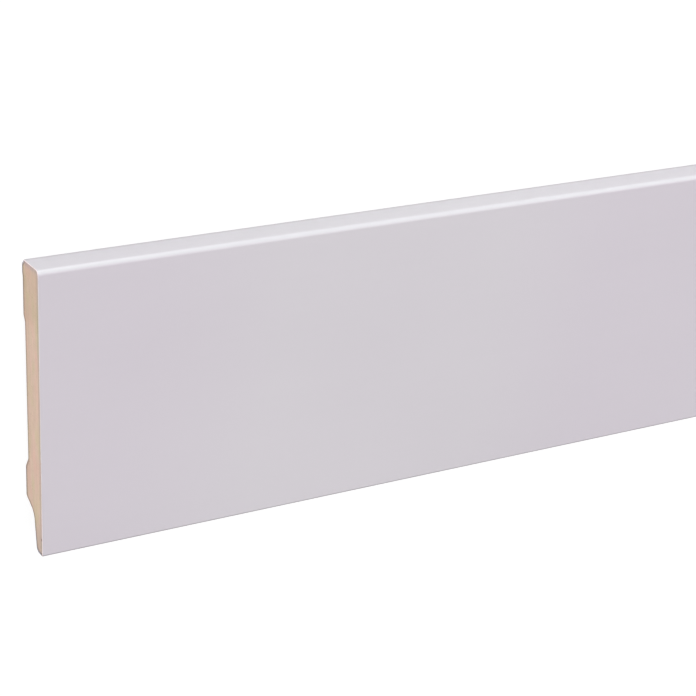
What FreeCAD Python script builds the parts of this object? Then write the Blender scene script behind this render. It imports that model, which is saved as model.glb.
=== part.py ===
import FreeCAD, Part

import os

import Sketcher

# A length of skirting board, in millimetres. It is one moulding of fibreboard, run through a spindle moulder
# in one pass and cut square at both ends, with a white finish too thin to have a size of its own here.
#
# The board lies on its back, as it is stored. +X runs along it, +Y up its height to the top edge, and +Z out
# of the wall to the finished face, which is upwards. The origin is halfway along it and halfway up it, on
# the wall plane: the plane of the two stretches of the back that meet the wall, and so the floor here.

doc = FreeCAD.newDocument("SkirtingBoardLength")

# Driving dimensions. Heights are measured on the board as it stands on the floor, depths from the wall.
DRIVING_DIMENSIONS = [
    ("board_length", 2400.0, "stock length between the two saw cuts"),
    ("board_height", 120.0, "foot to top edge"),
    ("board_thickness", 16.0, "wall plane to finished face"),
    ("front_top_radius", 2.2, "round where the face turns over into the top edge"),
    ("front_foot_radius", 0.5, "eased arris where the face meets the floor"),
    ("back_top_radius", 1.8, "round where the top edge meets the wall"),
    ("turnover_width", 5.1, "band at the top of the back that the finish is turned over onto"),
    ("turnover_step_rise", 2.3, "height in which the back drops from that band to the glue land"),
    ("glue_land_depth", 0.5, "glue land behind the wall plane"),
    ("glue_land_width", 15.2, "glue land, top to bottom"),
    ("relief_ramp_rise", 2.7, "height in which the glue land drops into the relief"),
    ("relief_depth_at_top", 1.95, "relief behind the wall plane, at its top end"),
    ("relief_depth_at_foot", 2.7, "relief behind the wall plane, at its lower end"),
    ("relief_corner_radius", 1.0, "round in both inner corners of the relief"),
    ("shoulder_rise", 4.0, "height of the slope from the lower pad into the relief"),
    ("shoulder_radius", 3.0, "round at the top of the lower pad"),
    ("lower_pad_width", 13.1, "lower pad, which meets the wall, top to bottom"),
    ("lower_pad_corner_radius", 1.5, "round at the foot of the lower pad"),
    ("rebate_height", 20.2, "floor to the lower pad: room for cables and the floor's edge"),
    ("ledge_drop", 4.2, "fall of the rebate's sloping ledge, from the pad to the back of the lip"),
    ("ledge_root_radius", 6.0, "cove where the ledge runs out into the back of the lip"),
    ("lip_thickness_at_root", 8.2, "lip at the rebate's root"),
    ("lip_thickness_at_foot", 5.8, "lip at the floor"),
    ("lip_back_radius", 2.5, "round at the foot of the lip's back"),
]

sheet = doc.addObject("Spreadsheet::Sheet", "Dimensions")
for row, (alias, value, meaning) in enumerate(DRIVING_DIMENSIONS, start=1):
    sheet.set(f"A{row}", meaning)
    sheet.set(f"B{row}", str(value))
    sheet.setAlias(f"B{row}", alias)
doc.recompute()

# The section's corners before any is rounded, in order round it from the foot of the finished face. Each has
# a name, its height above the floor and its distance out from the wall plane. What belongs to the top of the
# board is measured down from the top edge, and what belongs to its foot is measured up from the floor.
TURNOVER_FOOT = "Dimensions.board_height - Dimensions.turnover_width"
GLUE_LAND_TOP = f"{TURNOVER_FOOT} - Dimensions.turnover_step_rise"
GLUE_LAND_FOOT = f"{GLUE_LAND_TOP} - Dimensions.glue_land_width"
RELIEF_TOP = f"{GLUE_LAND_FOOT} - Dimensions.relief_ramp_rise"
LOWER_PAD_TOP = "Dimensions.rebate_height + Dimensions.lower_pad_width"
RELIEF_FOOT = f"{LOWER_PAD_TOP} + Dimensions.shoulder_rise"

SECTION_CORNERS = [
    ("face_foot", "0", "Dimensions.board_thickness"),
    ("face_top", "Dimensions.board_height", "Dimensions.board_thickness"),
    ("back_top", "Dimensions.board_height", "0"),
    ("turnover_foot", TURNOVER_FOOT, "0"),
    ("glue_land_top", GLUE_LAND_TOP, "Dimensions.glue_land_depth"),
    ("glue_land_foot", GLUE_LAND_FOOT, "Dimensions.glue_land_depth"),
    ("relief_top", RELIEF_TOP, "Dimensions.relief_depth_at_top"),
    ("relief_foot", RELIEF_FOOT, "Dimensions.relief_depth_at_foot"),
    ("lower_pad_top", LOWER_PAD_TOP, "0"),
    ("lower_pad_foot", "Dimensions.rebate_height", "0"),
    ("ledge_root", "Dimensions.rebate_height - Dimensions.ledge_drop",
     "Dimensions.board_thickness - Dimensions.lip_thickness_at_root"),
    ("lip_back_foot", "0", "Dimensions.board_thickness - Dimensions.lip_thickness_at_foot"),
]

# The rounds that run the whole length of the board: a name, the size that holds the radius, and the corners.
LONG_ROUNDS = [
    ("FaceTopRound", "front_top_radius", ["face_top"]),
    ("FaceFootRound", "front_foot_radius", ["face_foot"]),
    ("BackTopRound", "back_top_radius", ["back_top"]),
    ("ReliefRounds", "relief_corner_radius", ["relief_top", "relief_foot"]),
    ("ShoulderRound", "shoulder_radius", ["lower_pad_top"]),
    ("PadFootRound", "lower_pad_corner_radius", ["lower_pad_foot"]),
    ("LedgeCove", "ledge_root_radius", ["ledge_root"]),
    ("LipBackRound", "lip_back_radius", ["lip_back_foot"]),
]


def section_point(corner):
    """A corner of the section as the dimensions now give it: its height and its distance from the wall."""
    for name, height, out in SECTION_CORNERS:
        if name == corner:
            return FreeCAD.Vector(float(sheet.evalExpression(height)), float(sheet.evalExpression(out)), 0)
    raise KeyError(corner)


def origin_plane(body, role):
    """One of a body's own three origin planes."""
    return next(plane for plane in body.Origin.OriginFeatures if plane.Role == role)


def pin_start(sketch, line, kind, axis, expression, label):
    """Fix the start of a line in one direction of the sketch: on the axis, or at a size from the sheet."""
    origin, line_start = (-1, 1), (line, 1)
    if expression == "0":
        sketch.addConstraint(Sketcher.Constraint("PointOnObject", *line_start, axis))
        return
    size = float(sheet.evalExpression(expression))
    constraint = sketch.addConstraint(Sketcher.Constraint(kind, *origin, *line_start, size))
    sketch.renameConstraint(constraint, label)
    sketch.setExpression(f"Constraints.{label}", expression)


def draw_section(body):
    """The sharp-cornered section, with the board's height along the sketch's x and its thickness along y."""
    height_axis, depth_axis = -1, -2
    start, end = 1, 2
    sketch = body.newObject("Sketcher::SketchObject", "Section")
    sketch.AttachmentSupport = [(origin_plane(body, "YZ_Plane"), "")]
    sketch.MapMode = "FlatFace"
    names = [name for name, height, out in SECTION_CORNERS]
    lines = []
    for name, following in zip(names, names[1:] + names[:1]):
        side = Part.LineSegment(section_point(name), section_point(following))
        lines.append(sketch.addGeometry(side))
    for line, following in zip(lines, lines[1:] + lines[:1]):
        sketch.addConstraint(Sketcher.Constraint("Coincident", line, end, following, start))
    for line, (name, height, out) in zip(lines, SECTION_CORNERS):
        pin_start(sketch, line, "DistanceX", depth_axis, height, f"{name}_height")
        pin_start(sketch, line, "DistanceY", height_axis, out, f"{name}_out")
    return sketch


def long_edge(shape, corner):
    """The name of the edge that runs the length of the board at one corner of its section."""
    same_place = 0.001
    at = section_point(corner)
    for number, edge in enumerate(shape.Edges, start=1):
        ends = [vertex.Point for vertex in edge.Vertexes]
        off = [abs(end.y - at.x) + abs(end.z - at.y) for end in ends]
        if len(ends) == 2 and max(off) < same_place:
            return f"Edge{number}"
    raise ValueError(f"no edge runs along the board at {corner}")


def make_skirting_board():
    """The moulding: its section run out to the stock length, then each long corner rounded by its cutter."""
    body = doc.addObject("PartDesign::Body", "SkirtingBoard")
    body.Label = "skirting_board"
    body.setExpression("Placement.Base.y", "-Dimensions.board_height / 2")

    section = draw_section(body)
    doc.recompute()

    run = body.newObject("PartDesign::Pad", "BoardRun")
    run.Profile = section
    run.SideType = "Symmetric"
    run.setExpression("Length", "Dimensions.board_length")
    section.Visibility = False
    doc.recompute()

    last = run
    for name, radius, corners in LONG_ROUNDS:
        rounding = body.newObject("PartDesign::Fillet", name)
        rounding.Base = (last, [long_edge(last.Shape, corner) for corner in corners])
        rounding.setExpression("Radius", f"Dimensions.{radius}")
        doc.recompute()
        last = rounding
    return body


sub_parts = [make_skirting_board()]
doc.recompute()

for item in doc.Objects:
    if "Invalid" in item.State or "Error" in item.State:
        raise RuntimeError(f"{item.Label} did not recompute: {item.State}")

os.makedirs("parts", exist_ok=True)
for sub_part in sub_parts:
    shape = sub_part.Shape
    if shape.isNull() or not shape.isValid():
        raise RuntimeError(f"{sub_part.Label} has no valid shape")
    box = shape.BoundBox
    print(f"{sub_part.Label}: {len(shape.Solids)} solid, {len(shape.Faces)} faces,",
          f"{shape.Volume / 1000:.1f} cm3, {box.XLength:.1f} x {box.YLength:.2f} x {box.ZLength:.2f} mm,",
          f"from ({box.XMin:.1f}, {box.YMin:.2f}, {box.ZMin:.3f})")
for sub_part in sub_parts:
    sub_part.Shape.exportStep(f"parts/{sub_part.Label}.step")
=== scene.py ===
import math

import bmesh
import bpy
from mathutils import Matrix, Vector


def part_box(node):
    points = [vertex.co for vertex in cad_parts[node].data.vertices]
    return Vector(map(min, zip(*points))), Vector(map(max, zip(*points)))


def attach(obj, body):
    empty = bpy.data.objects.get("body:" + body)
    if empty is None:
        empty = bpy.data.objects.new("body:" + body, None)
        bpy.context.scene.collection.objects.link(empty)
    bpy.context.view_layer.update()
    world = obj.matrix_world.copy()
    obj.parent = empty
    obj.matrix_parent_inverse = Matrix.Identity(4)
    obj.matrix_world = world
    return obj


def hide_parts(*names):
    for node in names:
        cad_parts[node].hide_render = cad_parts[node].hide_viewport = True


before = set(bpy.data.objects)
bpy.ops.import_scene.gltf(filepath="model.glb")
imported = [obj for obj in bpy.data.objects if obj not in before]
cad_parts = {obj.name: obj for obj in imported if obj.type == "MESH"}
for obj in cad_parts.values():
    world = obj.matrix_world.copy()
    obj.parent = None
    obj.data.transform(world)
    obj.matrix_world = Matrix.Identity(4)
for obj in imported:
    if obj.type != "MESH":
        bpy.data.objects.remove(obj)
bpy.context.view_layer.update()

# The moulding. One strip of fibreboard is run through a spindle moulder, which leaves a flat face with a
# rounded top edge, and a back with a band and a pad that meet the wall, a shallow relief between them and a
# deep rebate behind the foot. It is then cut square at both ends. It lies on its back, top edge to +Y.

board_low, board_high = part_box("skirting_board")
board_length = board_high.x - board_low.x
board_height = board_high.y - board_low.y
board_thickness = board_high.z - board_low.z
foot_line = board_low.y
millimetre = 0.001

# Height above the foot and depth behind the wall plane of each corner down the back, in millimetres.
back_corners = [
    ("turnover_foot", 114.9, 0.0),
    ("glue_land_top", 112.6, 0.5),
    ("glue_land_foot", 97.4, 0.5),
    ("relief_top", 94.7, 1.95),
    ("relief_foot", 37.3, 2.7),
    ("lower_pad_top", 33.3, 0.0),
    ("lower_pad_foot", 20.2, 0.0),
    ("ledge_root", 16.0, 7.8),
    ("lip_back_foot", 0.0, 10.2),
]

# Radius in millimetres and number of facets of each round that runs the length of the board.
long_rounds = [
    ("face_top", 2.2, 20),
    ("face_foot", 0.5, 8),
    ("back_top", 1.8, 16),
    ("relief_top", 1.0, 4),
    ("relief_foot", 1.0, 4),
    ("lower_pad_top", 3.0, 6),
    ("lower_pad_foot", 1.5, 8),
    ("ledge_root", 6.0, 10),
    ("lip_back_foot", 2.5, 12),
]

rise = {name: height for name, height, depth in back_corners}
round_of = {name: radius for name, radius, facets in long_rounds}

# The sharp corners of the section in order round it, each by its place along Y and along Z.
section = {
    "face_foot": Vector((foot_line, board_high.z)),
    "face_top": Vector((board_high.y, board_high.z)),
    "back_top": Vector((board_high.y, board_low.z)),
}
for name, height, depth in back_corners:
    section[name] = Vector((foot_line + height * millimetre, board_low.z + depth * millimetre))

bpy.ops.object.select_all(action="DESELECT")
bpy.ops.mesh.primitive_cube_add(size=1.0, location=(board_low + board_high) / 2)
board = bpy.context.object
board.name = "moulded_board"
bpy.ops.transform.resize(value=board_high - board_low)
bpy.ops.object.transform_apply(location=True, rotation=True, scale=True)
bpy.ops.object.mode_set(mode="EDIT")

# How near two points are that count as one, and how much of a facet's normal points one way when the facet
# faces that way squarely, mostly or slightly.
same_place = 1e-6
squarely = 0.999
mostly = 0.9
slightly = 0.1


def pick(kind, wanted):
    """Select only the vertices, edges or faces of the board for which wanted says yes."""
    bpy.ops.mesh.select_all(action="DESELECT")
    bpy.ops.mesh.select_mode(type={"verts": "VERT", "edges": "EDGE", "faces": "FACE"}[kind])
    mesh = bmesh.from_edit_mesh(board.data)
    for item in getattr(mesh, kind):
        if wanted(item):
            item.select_set(True)
    mesh.select_flush_mode()
    bmesh.update_edit_mesh(board.data)


def stands_at(point, place):
    """Whether a point of the board lies on the long line at this place of the section."""
    return abs(point.y - place.x) < same_place and abs(point.z - place.y) < same_place


# Every corner of the back is first marked by a cut along the board, and is then sunk to its depth.
for name in rise:
    bpy.ops.mesh.select_all(action="SELECT")
    bpy.ops.mesh.bisect(plane_co=(0, section[name].x, 0), plane_no=(0, 1, 0))
for name, height, depth in back_corners:
    pick("verts", lambda v: stands_at(v.co, Vector((section[name].x, board_low.z))))
    bpy.ops.transform.translate(value=(0, 0, depth * millimetre))

# The cuts left loose lines along the finished face and across both ends, where nothing turns.
flat_turn = 0.001
pick("edges", lambda e: e.calc_length() > board_length / 2 and e.calc_face_angle() < flat_turn)
bpy.ops.mesh.dissolve_edges(use_verts=True)
pick("faces", lambda f: abs(f.normal.x) > squarely)
bpy.ops.mesh.dissolve_faces(use_verts=True)

# Each long corner is rounded by its cutter.
true_round = 0.5
order = list(section)
for name, radius, facets in long_rounds:
    at = order.index(name)
    corner = section[name]
    coming = (corner - section[order[at - 1]]).normalized()
    going = (section[order[(at + 1) % len(order)]] - corner).normalized()
    reach = radius * millimetre * math.tan(coming.angle(going) / 2)
    pick("edges", lambda e: all(stands_at(v.co, corner) for v in e.verts))
    bpy.ops.mesh.bevel(offset=reach, offset_type="OFFSET", segments=facets, profile=true_round,
                       affect="EDGES")

# The finish is turned under the foot and a little way up the back of the lip, and ends there in a line.
return_rise = 8.5
return_end = foot_line + return_rise * millimetre
pick("faces", lambda f: f.normal.z < -mostly and f.calc_center_median().y < section["ledge_root"].x)
bpy.ops.mesh.bisect(plane_co=(0, return_end, 0), plane_no=(0, 1, 0))

# The saw leaves a fine broken arris round both ends.
arris = 0.18 * millimetre
arris_facets = 2
pick("faces", lambda f: abs(f.normal.x) > squarely)
bpy.ops.mesh.region_to_loop()
bpy.ops.mesh.bevel(offset=arris, offset_type="OFFSET", segments=arris_facets, profile=true_round,
                   affect="EDGES")

# A knock has taken the tip off the corner where the near end, the top edge and the back meet.
knock_depth = 0.6 * millimetre
knocked_side = Vector((-1, 1, -1)).normalized()
rounded_away = round_of["back_top"] * millimetre * (1 - math.cos(math.pi / 4))
tip = Vector((board_low.x, board_high.y - rounded_away, board_low.z + rounded_away))
bpy.ops.mesh.select_all(action="SELECT")
bpy.ops.mesh.bisect(plane_co=tip - knock_depth * knocked_side, plane_no=knocked_side, use_fill=True,
                    clear_outer=True)
bpy.ops.object.mode_set(mode="OBJECT")

soft_turn = math.radians(35)
bpy.ops.object.shade_smooth_by_angle(angle=soft_turn)
even_normals = board.modifiers.new("even_normals", "WEIGHTED_NORMAL")
even_normals.keep_sharp = True
bpy.ops.object.modifier_apply(modifier=even_normals.name)


def add_node(tree, kind, inputs=None, **settings):
    """A node with its settings made, each input fed by another node or given a value of its own."""
    made = tree.nodes.new(kind)
    for name, value in settings.items():
        setattr(made, name, value)
    for name, value in (inputs or {}).items():
        if isinstance(value, bpy.types.NodeSocket):
            tree.links.new(value, made.inputs[name])
        else:
            made.inputs[name].default_value = value
    return made


def stretched(tree, places, scale, shift=(0, 0, 0)):
    """Places on the board, drawn out or crowded along each axis, and shifted."""
    given = {"Vector": places, "Scale": scale, "Location": shift}
    return add_node(tree, "ShaderNodeMapping", given).outputs["Vector"]


def noise(tree, places, per_metre, detail=3.0, roughness=0.55, distortion=0.0):
    """A cloudy value from 0 to 1 with so many clouds to the metre."""
    settings = {"Vector": places, "Scale": per_metre, "Detail": detail, "Roughness": roughness,
                "Distortion": distortion}
    return add_node(tree, "ShaderNodeTexNoise", settings).outputs["Fac"]


def waves(tree, places, pitch, distortion, detail, detail_scale=1.0, phase=0.0, kind="BANDS"):
    """Waves from 0 to 1, so many metres from crest to crest, in bands across X or in rings about it."""
    own_pitch = math.pi / 10
    settings = {"Vector": places, "Scale": own_pitch / pitch, "Distortion": distortion, "Detail": detail,
                "Detail Scale": detail_scale, "Phase Offset": phase}
    return add_node(tree, "ShaderNodeTexWave", settings, wave_type=kind).outputs["Fac"]


def spread(tree, value, low, high, to_low=0.0, to_high=1.0):
    """A value stretched from one range to another, and held at its ends."""
    ends = {"Value": value, "From Min": low, "From Max": high, "To Min": to_low, "To Max": to_high}
    return add_node(tree, "ShaderNodeMapRange", ends).outputs["Result"]


def fading(tree, value, low, high):
    """One up to the low end of a range, and dying away to nothing at its high end."""
    return spread(tree, value, low, high, 1.0, 0.0)


def reckon(tree, operation, first, second=0.0):
    """One sum on one or two values."""
    return add_node(tree, "ShaderNodeMath", {0: first, 1: second}, operation=operation).outputs["Value"]


def weighed(tree, *parts):
    """Some values added up, each taken by its weight."""
    total = 0.0
    for value, weight in parts:
        total = reckon(tree, "ADD", total, reckon(tree, "MULTIPLY", value, weight))
    return total


def blend(tree, share, first, second, way="MIX"):
    """Two colours laid over each other by a share from 0 to 1."""
    colours = {"Factor": share, "A": first, "B": second}
    made = tree.nodes.new("ShaderNodeMix")
    made.data_type = "RGBA"
    made.blend_type = way
    for name, value in colours.items():
        socket = next(s for s in made.inputs if s.name == name and s.enabled)
        if isinstance(value, bpy.types.NodeSocket):
            tree.links.new(value, socket)
        else:
            socket.default_value = value
    return next(s for s in made.outputs if s.enabled)


def distances(tree, places, *sides):
    """How far a spot lies from each named long side of the board, in millimetres."""
    parted = add_node(tree, "ShaderNodeSeparateXYZ", {"Vector": places}).outputs
    lines = {"wall": ("Z", board_low.z, 1), "face": ("Z", board_high.z, -1),
             "top": ("Y", board_high.y, -1), "foot": ("Y", foot_line, 1)}
    found = []
    for side in sides:
        axis, line, way = lines[side]
        off_line = reckon(tree, "SUBTRACT", parted[axis], line)
        found.append(reckon(tree, "MULTIPLY", off_line, way / millimetre))
    return found


def new_finish(name):
    """A fresh material, its tree, its shader, and the places on the piece that wears it."""
    finish = bpy.data.materials.new(name)
    finish.use_nodes = True
    tree = finish.node_tree
    places = add_node(tree, "ShaderNodeTexCoord").outputs["Object"]
    board.data.materials.append(finish)
    return tree, tree.nodes["Principled BSDF"], places


def wear(tree, shader, colour, roughness, height, depth):
    """Lead a finish's colour, roughness and relief, so many metres deep, into its shader."""
    tree.links.new(colour, shader.inputs["Base Color"])
    tree.links.new(roughness, shader.inputs["Roughness"])
    bump = add_node(tree, "ShaderNodeBump", {"Height": height, "Distance": depth, "Strength": 1.0})
    tree.links.new(bump.outputs["Normal"], shader.inputs["Normal"])


# White finish. A thin satin film is pressed over the face, round both edges and a little way onto the back.
# It has a fine skin like an orange's and a faint lilac cast that comes round with each turn of the
# press roll. Its colour also holds painted light: a plainer, darker white on the top edge as painted shade,
# a paler white along the round as a painted highlight, and grey lines of painted shade on the rounds at foot
# and back.

tree, shader, places = new_finish("white_film")
film_pale = (0.675, 0.640, 0.682, 1)
film_deep = (0.657, 0.622, 0.664, 1)
film_cast = (0.982, 0.960, 0.986, 1)
film_top_plainer_with_painted_shade = (0.605, 0.598, 0.624, 1)
film_round_painted_highlight = (0.646, 0.641, 0.670, 1)
film_painted_edge_shade = (0.48, 0.46, 0.47, 1)
film_roughness = (0.28, 0.30)
film_refraction = 1.55
film_skin_depth = 0.000012
press_roll_turn = 0.30
back_shade_share = 0.41

from_wall, from_face, from_top, from_foot = distances(tree, places, "wall", "face", "top", "foot")
clouds = noise(tree, stretched(tree, places, (1.0, 2.0, 2.0)), 7.0, 2.0)
rolls = noise(tree, stretched(tree, places, (0.04, 1.0, 1.0)), 260.0, 2.0)
grit = noise(tree, places, 1500.0, 3.0)
tone = weighed(tree, (clouds, 0.7), (rolls, 0.10), (grit, 0.20))
colour = blend(tree, spread(tree, tone, 0.35, 0.65), film_pale, film_deep)
along_the_run = stretched(tree, places, (1, 1, 1), (-board_low.x, 0, 0))
cast = waves(tree, along_the_run, press_roll_turn, 0.8, 1.0, 4.0, phase=math.pi)
colour = blend(tree, spread(tree, cast, 0.3, 0.9), colour, film_cast, "MULTIPLY")
# Painted shade: the top edge and the start of its round get a plainer, darker white.
colour = blend(tree, spread(tree, from_top, 0.1, 1.0, 0.65, 0.0), colour, film_top_plainer_with_painted_shade)

# A spot on the round is off the face and off the top edge, but near both. There the film is painted a paler,
# plainer white: a painted highlight along the round.
off_both_flats = spread(tree, reckon(tree, "MINIMUM", from_top, from_face), 0.0, 0.35)
by_the_corner = fading(tree, reckon(tree, "MAXIMUM", from_top, from_face), 2.0, 2.6)
colour = blend(tree, reckon(tree, "MULTIPLY", off_both_flats, by_the_corner), colour, film_round_painted_highlight)

# Painted shade: grey lines on the foot's round and, more faintly, on the back's top round, which turn away
# from the light.
foot_round_shade = reckon(tree, "MULTIPLY", fading(tree, from_foot, 0.3, 0.7), fading(tree, from_face, 0.6, 1.2))
back_round_shade = reckon(tree, "MULTIPLY", fading(tree, from_wall, 1.2, 3.8), fading(tree, from_top, 1.2, 2.0))
painted_edge_shade = reckon(tree, "MAXIMUM", foot_round_shade, reckon(tree, "MULTIPLY", back_round_shade, back_shade_share))
colour = blend(tree, painted_edge_shade, colour, film_painted_edge_shade, "MULTIPLY")

peel = noise(tree, places, 420.0, 2.0)
skin = noise(tree, places, 2600.0, 2.0)
height = weighed(tree, (peel, 1.0), (skin, 0.25))
sheen = weighed(tree, (clouds, 0.5), (grit, 0.5))
roughness = spread(tree, sheen, 0.3, 0.7, *film_roughness)
wear(tree, shader, colour, roughness, height, film_skin_depth)
shader.inputs["IOR"].default_value = film_refraction

# Mottle of pressed fibre, shared by the sawn ends and the bare back: soft bundles, single fibres drawn out
# along the board, dark specks of bark, pale shives, and the fuzz that a cutter raises.

fibre = bpy.data.node_groups.new("pressed_fibre", "ShaderNodeTree")
fibre.interface.new_socket("Places", in_out="INPUT", socket_type="NodeSocketVector")
fibre.interface.new_socket("Bundles", in_out="INPUT", socket_type="NodeSocketFloat")
for name in ("Mottle", "Dark Specks", "Pale Shives", "Fuzz"):
    fibre.interface.new_socket(name, in_out="OUTPUT", socket_type="NodeSocketFloat")
given = fibre.nodes.new("NodeGroupInput").outputs
taken = fibre.nodes.new("NodeGroupOutput").inputs
coarse = noise(fibre, given["Places"], 450.0, 5.0, 0.6, 0.4)
fine = noise(fibre, given["Places"], 2200.0, 4.0, 0.65)
specks = noise(fibre, given["Places"], 1500.0, 2.0)
shives = noise(fibre, stretched(fibre, given["Places"], (0.35, 1.0, 1.0)), 1100.0, 3.0, 0.5, 1.2)
mottle = weighed(fibre, (coarse, given["Bundles"]), (fine, 0.5))
fibre.links.new(spread(fibre, mottle, 0.45, 0.95), taken["Mottle"])
fibre.links.new(spread(fibre, specks, 0.66, 0.73), taken["Dark Specks"])
fibre.links.new(spread(fibre, shives, 0.62, 0.72), taken["Pale Shives"])
fibre.links.new(weighed(fibre, (fine, 1.0), (coarse, 0.6)), taken["Fuzz"])


def pressed_fibre(tree, places, bundles):
    """The outputs of the fibre mottle, placed in one material."""
    return add_node(tree, "ShaderNodeGroup", {"Places": places, "Bundles": bundles}, node_tree=fibre).outputs


# Sawn ends. Pale wood fibre in faint layers: pinker at the core, duller by the glue land, greyer under the
# top edge and by the foot, and denser and darker under the film, whose own cut shows as a thin ragged white
# line. The saw smudged the back's outline, most where the back lay on the saw's bed and by the foot.

tree, shader, places = new_finish("sawn_fibreboard")
fibre_core = (0.765, 0.570, 0.460, 1)
fibre_by_glue_land = (0.695, 0.522, 0.402, 1)
fibre_under_top = (0.585, 0.462, 0.440, 1)
fibre_by_foot = (0.640, 0.500, 0.410, 1)
tones = {"mottle": (0.93, 0.92, 0.90, 1), "layer": (0.94, 0.95, 0.93, 1), "olive": (0.95, 1.02, 0.90, 1),
         "pink": (1.03, 0.96, 0.98, 1), "skin": (0.76, 0.79, 0.84, 1), "smudge": (0.42, 0.42, 0.46, 1),
         "speck": (0.62, 0.55, 0.48, 1), "shive": (1.10, 1.12, 1.14, 1), "scorch": (0.95, 0.94, 0.92, 1),
         "bruise": (0.45, 0.38, 0.36, 1)}
cut_film = (0.84, 0.79, 0.82, 1)
sawn_roughness = (0.78, 0.9)
sawn_fuzz_depth = 0.00006
blade_radius = 0.125
saw_mark_pitch = 0.0011
bruise_place = Vector((board_low.x, foot_line + 7.2 * millimetre, board_high.z - 0.5 * millimetre))

# Heights above the foot over which the fibre's tone turns, and how far the turns wander, in millimetres.
duller_above = (95.0, 102.0)
greyer_above = (119.5, 122.5)
greyer_below = (4.0, 18.0)
turns_wander = 5.0

from_wall, from_face, from_top, from_foot = distances(tree, places, "wall", "face", "top", "foot")
wander = noise(tree, stretched(tree, places, (1.0, 1.0, 2.5)), 260.0, 3.0)
raised = weighed(tree, (from_foot, 1.0), (wander, turns_wander))
colour = blend(tree, spread(tree, raised, *duller_above), fibre_core, fibre_by_glue_land)
colour = blend(tree, spread(tree, raised, *greyer_above), colour, fibre_under_top)
colour = blend(tree, fading(tree, from_foot, *greyer_below), colour, fibre_by_foot)

mottle = pressed_fibre(tree, stretched(tree, places, (1.0, 0.5, 1.4)), bundles=0.9)
layers = noise(tree, stretched(tree, places, (0.0, 0.05, 1.0)), 900.0, 3.0)
drift = noise(tree, stretched(tree, places, (1.0, 0.35, 1.0)), 170.0, 2.0)
colour = blend(tree, mottle["Mottle"], colour, tones["mottle"], "MULTIPLY")
colour = blend(tree, spread(tree, layers, 0.45, 0.65), colour, tones["layer"], "MULTIPLY")
colour = blend(tree, spread(tree, drift, 0.50, 0.68), colour, tones["pink"], "MULTIPLY")
colour = blend(tree, fading(tree, drift, 0.34, 0.50), colour, tones["olive"], "MULTIPLY")
colour = blend(tree, mottle["Dark Specks"], colour, tones["speck"], "MULTIPLY")
colour = blend(tree, mottle["Pale Shives"], colour, tones["shive"], "MULTIPLY")

# The saw swept up through the board about a centre below its foot.
sweep = stretched(tree, places, (1, 1, 1), (0, blade_radius - foot_line, -board_high.z))
saw_marks = waves(tree, sweep, saw_mark_pitch, 1.2, 2.0, 3.0, kind="RINGS")
scorch = reckon(tree, "MULTIPLY", spread(tree, saw_marks, 0.6, 1.0), spread(tree, wander, 0.40, 0.70))
colour = blend(tree, scorch, colour, tones["scorch"], "MULTIPLY")

# How deep each spot lies under the rounded outline of the face and the top edge, or under the foot.
turn = round_of["face_top"]
skin_depth = (0.3 * turn, turn)
short_of_face = reckon(tree, "MAXIMUM", reckon(tree, "SUBTRACT", turn, from_face), 0.0)
short_of_top = reckon(tree, "MAXIMUM", reckon(tree, "SUBTRACT", turn, from_top), 0.0)
from_centre = add_node(tree, "ShaderNodeCombineXYZ", {"X": short_of_face, "Y": short_of_top})
from_centre = add_node(tree, "ShaderNodeVectorMath", {0: from_centre.outputs["Vector"]}, operation="LENGTH")
under_round = reckon(tree, "SUBTRACT", turn, from_centre.outputs["Value"])
under_finish = reckon(tree, "MINIMUM", under_round, from_foot)
less_on_top = spread(tree, from_top, 1.0, 3.0, 0.4, 1.0)
skin = reckon(tree, "MULTIPLY", fading(tree, under_finish, *skin_depth), less_on_top)
colour = blend(tree, skin, colour, tones["skin"], "MULTIPLY")

# How deep it lies under the back, whose line is read from the moulding's own end, as shares of its size.
face_side = 3 * millimetre
behind = board_high.z - face_side
end_points = [v.co for v in board.data.vertices if v.co.x < board_low.x + same_place and v.co.z < behind]
back_line = sorted(((p.y - foot_line) / board_height, (p.z - board_low.z) / board_thickness)
                   for p in end_points)


def back_at(tree, height):
    """How far the back stands out from the wall at a height, both in millimetres."""
    share = reckon(tree, "MULTIPLY", height, millimetre / board_height)
    curve = add_node(tree, "ShaderNodeFloatCurve", {"Value": share})
    line = curve.mapping.curves[0]
    line.points[0].location = back_line[0]
    line.points[1].location = back_line[-1]
    for up, out in back_line[1:-1]:
        line.points.new(up, out)
    for point in line.points:
        point.handle_type = "VECTOR"
    curve.mapping.update()
    return reckon(tree, "MULTIPLY", curve.outputs["Value"], board_thickness / millimetre)


smudge_width = 1.6
smudge_reach = 0.4 * smudge_width
nearest = back_at(tree, from_foot)
for step in (-smudge_reach, smudge_reach):
    nearest = reckon(tree, "MAXIMUM", nearest, back_at(tree, reckon(tree, "ADD", from_foot, step)))
under_back = reckon(tree, "SUBTRACT", from_wall, nearest)

# The film turns over onto the back as far as the band's foot, and a little way up behind the lip. Between
# them a spot by the back counts as too deep to be film. All of these are in millimetres.
film_least = 0.12
film_raggedness = 0.22
line_softness = 0.08
end_softness = 0.1
too_deep = 20.0
band_end = rise["turnover_foot"]
below_band = fading(tree, from_foot, band_end - end_softness, band_end + end_softness)
above_return = spread(tree, from_foot, return_rise - end_softness, return_rise + end_softness)
not_turned_over = reckon(tree, "MULTIPLY", below_band, above_return)
under_turned = weighed(tree, (under_back, 1.0), (not_turned_over, too_deep))
torn = reckon(tree, "MULTIPLY", noise(tree, places, 900.0, 3.0), film_raggedness)
ragged = reckon(tree, "ADD", torn, film_least)
under_film = reckon(tree, "MINIMUM", under_finish, under_turned)
film_line = fading(tree, reckon(tree, "SUBTRACT", under_film, ragged), 0.0, line_softness)
colour = blend(tree, film_line, colour, cut_film)

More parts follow.
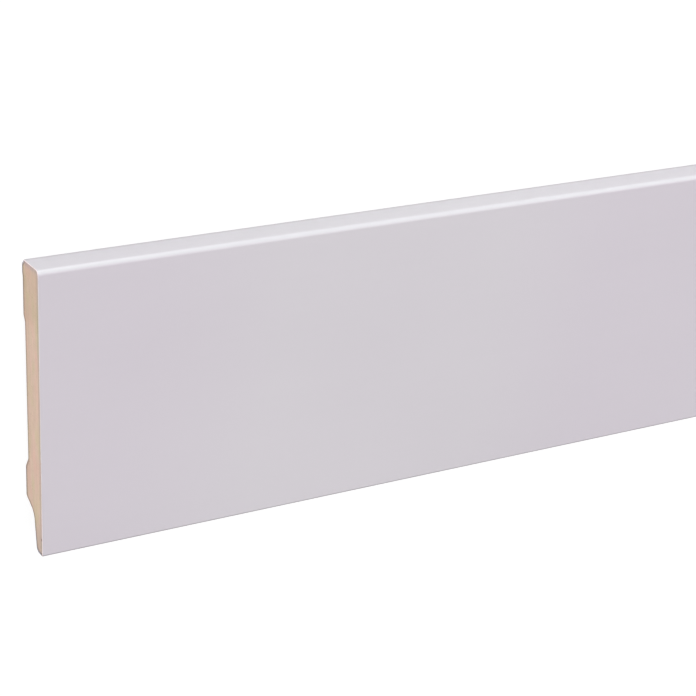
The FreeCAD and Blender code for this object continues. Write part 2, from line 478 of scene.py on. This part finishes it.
edge_of_back = fading(tree, reckon(tree, "MINIMUM", under_back, from_foot), 0.3 * smudge_width, smudge_width)
on_the_bed = reckon(tree, "MAXIMUM", fading(tree, nearest, 0.2, 1.0), fading(tree, from_foot, 6.0, 14.0))
smudge = reckon(tree, "MULTIPLY", edge_of_back, spread(tree, on_the_bed, 0.0, 1.0, 0.65, 1.0))
colour = blend(tree, smudge, colour, tones["smudge"], "MULTIPLY")

# A small bruise low on the end, by the face, is darker and pressed in.
bruise_reach = (0.35, 0.75)
bruise_sunk = 3.0
off_bruise = add_node(tree, "ShaderNodeVectorMath", {0: places, 1: bruise_place}, operation="DISTANCE")
bruise = fading(tree, reckon(tree, "DIVIDE", off_bruise.outputs["Value"], millimetre), *bruise_reach)
colour = blend(tree, bruise, colour, tones["bruise"], "MULTIPLY")

relief = weighed(tree, (mottle["Fuzz"], 1.0), (saw_marks, 0.25), (bruise, -bruise_sunk))
roughness = spread(tree, mottle["Mottle"], 0.0, 1.0, *sawn_roughness)
wear(tree, shader, colour, roughness, relief, sawn_fuzz_depth)

# Cut edge of the film. It breaks away in tiny flakes along the saw's line, and fibre shows where a flake is
# gone. It is cleanest by the foot and by the top edge, where the saw came in and went out, stained by fibre
# dust between them, and smudged behind the board.

tree, shader, places = new_finish("film_cut_edge")
film_broken_pale = (0.80, 0.74, 0.74, 1)
film_broken_dull = (0.70, 0.61, 0.59, 1)
film_broken_clean = (0.92, 0.79, 0.79, 1)
film_smudge = (0.55, 0.54, 0.56, 1)
film_edge_roughness = (0.34, 0.65)
flake_depth = 0.00003
from_wall, from_face, from_top, from_foot = distances(tree, places, "wall", "face", "top", "foot")
flakes = noise(tree, places, 750.0, 3.0, 0.6)
gone = spread(tree, flakes, 0.63, 0.67)
colour = blend(tree, noise(tree, places, 1800.0, 2.0), film_broken_pale, film_broken_dull)
clean = reckon(tree, "MAXIMUM", fading(tree, from_foot, 16.0, 30.0), fading(tree, from_top, 2.0, 4.0))
colour = blend(tree, clean, colour, film_broken_clean)
colour = blend(tree, gone, colour, fibre_by_glue_land)
behind_lip = reckon(tree, "MULTIPLY", fading(tree, from_foot, 10.0, 12.0), spread(tree, from_face, 1.0, 2.0))
at_the_back = reckon(tree, "MAXIMUM", fading(tree, from_wall, 0.8, 2.0), behind_lip)
colour = blend(tree, at_the_back, colour, film_smudge, "MULTIPLY")
roughness = spread(tree, flakes, 0.35, 0.7, *film_edge_roughness)
wear(tree, shader, colour, roughness, reckon(tree, "SUBTRACT", flakes, gone), flake_depth)

# Bare back. The cutters leave the fibre open: even knife marks across the board, faint streaks along it, a
# paler floor to the relief and the rebate, and darker, smoother land where the feed bed rubs. The edge of
# the film, and the glue that it squeezed out, end in a thin pale line at the band and behind the lip.

tree, shader, places = new_finish("moulded_fibreboard")
moulded_pale = (0.600, 0.450, 0.345, 1)
moulded_tan = (0.510, 0.370, 0.272, 1)
moulded_tones = {"streak": (0.91, 0.90, 0.88, 1), "knife": (0.96, 0.96, 0.95, 1),
                 "rubbed": (0.86, 0.85, 0.84, 1), "speck": (0.60, 0.52, 0.45, 1),
                 "shive": (1.13, 1.14, 1.15, 1), "dust": (1.12, 1.13, 1.13, 1)}
glue_bead = (0.72, 0.66, 0.62, 1)
glue_bead_width = 1.1
moulded_roughness = (0.52, 0.86)
moulded_fuzz_depth = 0.00005
knife_mark_pitch = 0.0016

from_wall, from_foot = distances(tree, places, "wall", "foot")
mottle = pressed_fibre(tree, stretched(tree, places, (0.6, 1.0, 1.0)), bundles=0.9)
clouds = noise(tree, stretched(tree, places, (0.5, 2.0, 2.0)), 22.0, 3.0)
streaks = noise(tree, stretched(tree, places, (0.012, 1.0, 1.0)), 620.0, 4.0, 0.6)
colour = blend(tree, mottle["Mottle"], moulded_pale, moulded_tan)
colour = blend(tree, spread(tree, clouds, 0.35, 0.70), colour, moulded_tones["streak"], "MULTIPLY")
colour = blend(tree, spread(tree, streaks, 0.42, 0.66), colour, moulded_tones["streak"], "MULTIPLY")
colour = blend(tree, mottle["Dark Specks"], colour, moulded_tones["speck"], "MULTIPLY")
colour = blend(tree, mottle["Pale Shives"], colour, moulded_tones["shive"], "MULTIPLY")

knife_marks = waves(tree, places, knife_mark_pitch, 0.5, 1.0)
colour = blend(tree, knife_marks, colour, moulded_tones["knife"], "MULTIPLY")

rubbed = reckon(tree, "MULTIPLY", fading(tree, from_wall, 0.1, 0.9), spread(tree, clouds, 0.25, 0.50))
colour = blend(tree, rubbed, colour, moulded_tones["rubbed"], "MULTIPLY")
dust = noise(tree, places, 90.0)
dusty = reckon(tree, "MULTIPLY", spread(tree, from_wall, 1.2, 2.6), spread(tree, dust, 0.4, 0.7))
colour = blend(tree, dusty, colour, moulded_tones["dust"], "MULTIPLY")

uneven = noise(tree, stretched(tree, places, (0.5, 1, 1)), 350.0, 3.0)
squeezed = reckon(tree, "MULTIPLY", uneven, glue_bead_width)
off_band = reckon(tree, "SUBTRACT", band_end, from_foot)
off_return = reckon(tree, "SUBTRACT", from_foot, return_rise)
off_film = reckon(tree, "SUBTRACT", reckon(tree, "MINIMUM", off_band, off_return), squeezed)
colour = blend(tree, fading(tree, off_film, -0.3, 0.0), colour, glue_bead)

relief = weighed(tree, (mottle["Fuzz"], 1.0), (knife_marks, 0.3), (streaks, 0.4))
roughness = spread(tree, reckon(tree, "SUBTRACT", mottle["Mottle"], rubbed), -1.0, 1.0, *moulded_roughness)
wear(tree, shader, colour, roughness, relief, moulded_fuzz_depth)

# Each facet wears one of the finishes, which are counted in the order in which they were made.
WHITE, SAWN, FILM_EDGE, BARE = range(4)
for face in board.data.polygons:
    finished = (face.center.z > behind or face.center.y > section["turnover_foot"].x
                or face.center.y < return_end)
    if abs(face.normal.x) > squarely or face.normal.dot(knocked_side) > squarely:
        face.material_index = SAWN
    elif abs(face.normal.x) > slightly:
        face.material_index = FILM_EDGE if finished else SAWN
    else:
        face.material_index = WHITE if finished else BARE

# Layout of the board on one square picture, for the exported copy that wears its finishes painted on. It has
# the name that the export looks for. The long sides lie side by side, and each end has a wide column of its
# own, for its finer detail. A column runs from where its side's low edge lies to where its high edge lies.
picture_columns = {
    "face": (0.330, 0.003),
    "back": (0.336, 0.663),
    "top": (0.669, 0.731),
    "foot": (0.799, 0.737),
    "near_end": (0.805, 0.898),
    "far_end": (0.997, 0.904),
}
picture_margin = 0.003


def side_of(face):
    """The side of the board that a facet is laid out with: an end, or the long side that it faces most."""
    if abs(face.normal.x) > slightly:
        return "near_end" if face.normal.x < 0 else "far_end"
    if abs(face.normal.z) > abs(face.normal.y):
        return "face" if face.normal.z > 0 else "back"
    return "top" if face.normal.y > 0 else "foot"


layout = board.data.uv_layers.new(name="OFBake")
for face in board.data.polygons:
    side = side_of(face)
    low_edge, high_edge = picture_columns[side]
    for corner in face.loop_indices:
        point = board.data.vertices[board.data.loops[corner].vertex_index].co
        along = (point.x - board_low.x) / board_length
        up = (point.y - foot_line) / board_height
        out = (point.z - board_low.z) / board_thickness
        across = up if side in ("face", "back") else out
        tall = up if side in ("near_end", "far_end") else along
        layout.uv[corner].vector = (low_edge + (high_edge - low_edge) * across,
                                    picture_margin + (1 - 2 * picture_margin) * tall)

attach(board, "root")
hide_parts("skirting_board")

# Floor. A wide plain sheet of pale card. The camera sees it as clean, evenly lit white, and the board gets
# the light that such a card throws back.

card_size = 40
card_roughness = 0.9
card_to_the_board = (0.66, 0.66, 0.66, 1)
card_to_the_camera = (0.12, 0.12, 0.12, 1)
card_glow = 0.93
bpy.ops.mesh.primitive_plane_add(size=card_size, location=(0, 0, board_low.z))
floor = bpy.context.object
floor.name = "floor"
card = bpy.data.materials.new("pale_card")
card.use_nodes = True
tree = card.node_tree
shader = tree.nodes["Principled BSDF"]
shader.inputs["Roughness"].default_value = card_roughness
shader.inputs["Emission Color"].default_value = (1, 1, 1, 1)
seen = add_node(tree, "ShaderNodeLightPath").outputs["Is Camera Ray"]
tree.links.new(blend(tree, seen, card_to_the_board, card_to_the_camera), shader.inputs["Base Color"])
tree.links.new(reckon(tree, "MULTIPLY", seen, card_glow), shader.inputs["Emission Strength"])
floor.data.materials.append(card)

# Light. Large softboxes beyond the top edge: two low ones, the near one much the brighter, draw the bright
# line along its round, and a high one lights the edge itself. A broad one hangs over the face, one beyond
# each end lights its saw cut, and the room is white to the camera but adds only a faint fill.

room_fill = 0.05
scene = bpy.context.scene
scene.view_settings.view_transform = "Standard"
world = bpy.data.worlds.new("studio")
scene.world = world
world.use_nodes = True
tree = world.node_tree
tree.nodes["Background"].inputs["Color"].default_value = (1, 1, 1, 1)
seen = add_node(tree, "ShaderNodeLightPath").outputs["Is Camera Ray"]
tree.links.new(spread(tree, seen, 0.0, 1.0, room_fill, 1.0), tree.nodes["Background"].inputs["Strength"])


def softbox(name, place, aim, width, height, brightness):
    """A softbox turned to face a place, as bright as so many sheets of fully lit white card."""
    lamp = bpy.data.lights.new(name, "AREA")
    lamp.shape = "RECTANGLE"
    lamp.size = width
    lamp.size_y = height
    lamp.energy = brightness * math.pi * width * height
    stand = bpy.data.objects.new(name, lamp)
    scene.collection.objects.link(stand)
    stand.location = place
    stand.rotation_euler = (Vector(aim) - Vector(place)).to_track_quat("-Z", "Y").to_euler()


softbox("low_by_the_near_half", (-1.0, 2.19, 0.19), (-1.0, 0.0, 0.0), 1.6, 0.385, 12.9)
softbox("low_by_the_far_half", (0.6, 2.19, 0.19), (0.6, 0.0, 0.0), 1.6, 0.385, 4.3)
softbox("high_beyond_top_edge", (0.6, 1.41, 1.69), (0.6, 0.0, 0.0), 2.4, 1.8, 2.1)
softbox("over_the_face", (0.0, -0.3, 2.6), (0.0, -0.3, 0.0), 5.0, 3.6, 1.1)
softbox("beyond_the_near_end", (-3.4, 0.0, 0.9), (-1.2, 0.0, 0.0), 2.0, 1.5, 4.0)
softbox("beyond_the_far_end", (2.2, 0.0, 0.24), (1.2, 0.0, 0.0), 0.9, 0.4, 5.0)

# Camera. It looks down on the face past the near end, from beyond the top edge, and the board runs off to
# the right.

lens_in_pixels = 2091.58
picture_width = 696
sensor_width = 36
eye = Vector((board_low.x - 0.27494, board_low.y + 0.38863, board_low.z + 0.7079))
to_the_right = Vector((0.86689, 0.03942, 0.49694))
upwards = Vector((0.15315, 0.9276, -0.34073))
camera_data = bpy.data.cameras.new("camera")
camera_data.sensor_width = sensor_width
camera_data.lens = lens_in_pixels * sensor_width / picture_width
camera = bpy.data.objects.new("camera", camera_data)
scene.collection.objects.link(camera)
backwards = to_the_right.cross(upwards)
camera.matrix_world = Matrix((to_the_right, upwards, backwards)).transposed().to_4x4()
camera.location = eye
scene.camera = camera
